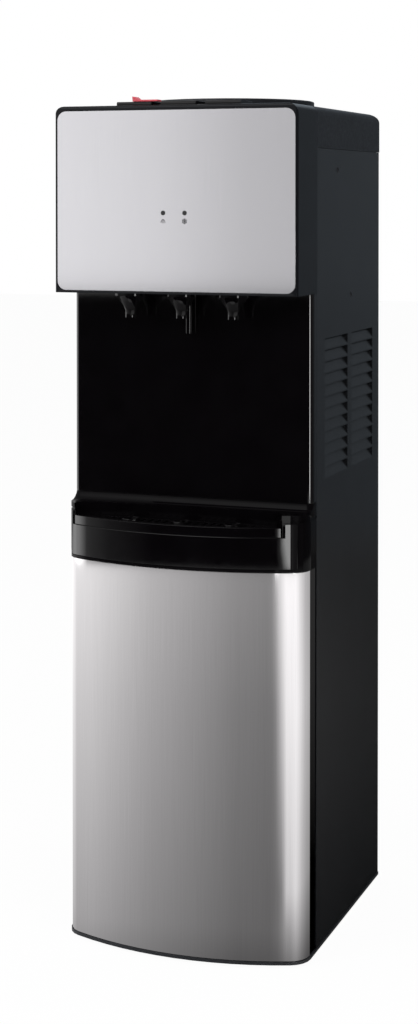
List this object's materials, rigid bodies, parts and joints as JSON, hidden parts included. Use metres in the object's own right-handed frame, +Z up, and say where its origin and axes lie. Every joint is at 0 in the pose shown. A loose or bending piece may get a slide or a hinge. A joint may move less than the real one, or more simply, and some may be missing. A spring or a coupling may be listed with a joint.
{
  "type": "water cooler",
  "caption": "Free-standing bottle-top water cooler with push keys, taps over a drip tray, louvred black sides and a bowed brushed-metal lower front.",
  "frame": {"origin": "centre of the bounding box's bottom face, on the floor under the feet", "axes": "+Z up along the cabinet's height, +X to the right as seen from the front, +Y to the rear; the taps and keys face -Y"},
  "size_m": [0.31, 0.362, 1.038],
  "materials": {
    "satin_black": "moulded satin black ABS",
    "rubber_black": "black rubber",
    "painted_black": "satin black paint on steel",
    "galvanised_sheet": "galvanised sheet",
    "brushed_steel": "brushed upright grain",
    "gloss_black": "polished black ABS",
    "bare_steel": "bright stainless steel",
    "silicone": "translucent silicone and food-grade plastic",
    "foam": "expanded foam",
    "copper": "bare copper",
    "coral_red": "moulded coral red plastic",
    "lamp_clear": "clear lens",
    "rocker_red": "moulded red",
    "rocker_green": "moulded green"
  },
  "bodies": {
    "cabinet": {"base_pan": "satin_black", "foot_front_left": "rubber_black", "foot_front_right": "rubber_black", "foot_rear_left": "rubber_black", "foot_rear_right": "rubber_black", "side_panel_right": "painted_black", "side_panel_left": "painted_black", "rear_panel": "galvanised_sheet", "lower_front_panel": "brushed_steel", "tray_housing": "gloss_black", "tray_front_cover": "gloss_black", "niche_panel": "gloss_black", "head_fascia": "satin_black", "fascia_plate": "brushed_steel", "top_cover": "satin_black", "tank_gasket": "silicone", "tap_hot": "gloss_black", "tap_ambient": "gloss_black", "tap_cold": "gloss_black", "key_shaft": "bare_steel", "vent_tube": "satin_black", "cold_tank": "bare_steel", "insulation": "foam", "evaporator": "copper", "baffle": "silicone", "tank_shelf": "galvanised_sheet", "hot_tank": "bare_steel", "hot_tank_bracket": "galvanised_sheet", "band_heater": "galvanised_sheet", "feed_pipe": "silicone", "hose_hot": "silicone", "hose_ambient": "silicone", "hose_cold": "silicone", "thermostat": "satin_black", "compressor": "painted_black", "relay_cover": "satin_black", "condenser": "painted_black", "filter_drier": "copper", "suction_pipe": "copper", "discharge_pipe": "copper", "lamp_heat": "lamp_clear", "lamp_cool": "lamp_clear", "switch_block": "satin_black", "cord_gland": "satin_black"},
    "key_hot": {"key_hot": "satin_black"},
    "stem_hot": {"stem_hot": "silicone", "spring_hot": "bare_steel"},
    "key_ambient": {"key_ambient": "satin_black"},
    "stem_ambient": {"stem_ambient": "silicone", "spring_ambient": "bare_steel"},
    "key_cold": {"key_cold": "satin_black"},
    "stem_cold": {"stem_cold": "silicone", "spring_cold": "bare_steel"},
    "child_lock": {"child_lock": "coral_red"},
    "drip_tray": {"drip_tray": "gloss_black"},
    "drip_grille": {"drip_grille": "gloss_black"},
    "bottle_collar": {"bottle_collar": "satin_black"},
    "rocker_heat": {"rocker_heat": "rocker_red"},
    "rocker_cool": {"rocker_cool": "rocker_green"},
    "drain_cap": {"drain_cap": "satin_black"}
  },
  "joints": [
    {"name": "key_hot_press", "type": "hinge", "parent": "cabinet", "child": "key_hot", "pos_m": [-0.057, -0.131, 1.016], "axis": [1, 0, 0], "range_deg": [0, 8], "stiffness_Nm_per_rad": 0.5, "springref_deg": -5.73},
    {"name": "stem_hot_slide", "type": "slide", "parent": "cabinet", "child": "stem_hot", "axis": [0, 0, -1], "range_m": [0, 0.0033], "deforming": ["spring_hot"]},
    {"name": "key_ambient_press", "type": "hinge", "parent": "cabinet", "child": "key_ambient", "pos_m": [0, -0.131, 1.016], "axis": [1, 0, 0], "range_deg": [0, 8], "stiffness_Nm_per_rad": 0.5, "springref_deg": -5.73},
    {"name": "stem_ambient_slide", "type": "slide", "parent": "cabinet", "child": "stem_ambient", "axis": [0, 0, -1], "range_m": [0, 0.0033], "deforming": ["spring_ambient"]},
    {"name": "key_cold_press", "type": "hinge", "parent": "cabinet", "child": "key_cold", "pos_m": [0.057, -0.131, 1.016], "axis": [1, 0, 0], "range_deg": [0, 8], "stiffness_Nm_per_rad": 0.5, "springref_deg": -5.73},
    {"name": "stem_cold_slide", "type": "slide", "parent": "cabinet", "child": "stem_cold", "axis": [0, 0, -1], "range_m": [0, 0.0033], "deforming": ["spring_cold"]},
    {"name": "child_lock_slide", "type": "slide", "parent": "key_hot", "child": "child_lock", "axis": [-1, 0, 0], "range_m": [0, 0.008]},
    {"name": "drip_tray_lift", "type": "slide", "parent": "cabinet", "child": "drip_tray", "axis": [0, 0, 1], "range_m": [0, 0.06]},
    {"name": "drip_grille_lift", "type": "slide", "parent": "drip_tray", "child": "drip_grille", "axis": [0, 0, 1], "range_m": [0, 0.03]},
    {"name": "bottle_collar_lift", "type": "slide", "parent": "cabinet", "child": "bottle_collar", "axis": [0, 0, 1], "range_m": [0, 0.08]},
    {"name": "rocker_heat_tilt", "type": "hinge", "parent": "cabinet", "child": "rocker_heat", "pos_m": [-0.107, 0.1633, 0.93], "axis": [1, 0, 0], "range_deg": [-8, 8]},
    {"name": "rocker_cool_tilt", "type": "hinge", "parent": "cabinet", "child": "rocker_cool", "pos_m": [-0.083, 0.1633, 0.93], "axis": [1, 0, 0], "range_deg": [-8, 8]},
    {"name": "drain_cap_pull", "type": "slide", "parent": "cabinet", "child": "drain_cap", "axis": [0, 1, 0], "range_m": [0, 0.02]}
  ],
  "couplings": [
    {"joint": "stem_hot_slide", "follows": "key_hot_press", "m_per_rad": 0.02307},
    {"joint": "stem_ambient_slide", "follows": "key_ambient_press", "m_per_rad": 0.02307},
    {"joint": "stem_cold_slide", "follows": "key_cold_press", "m_per_rad": 0.02307}
  ]
}
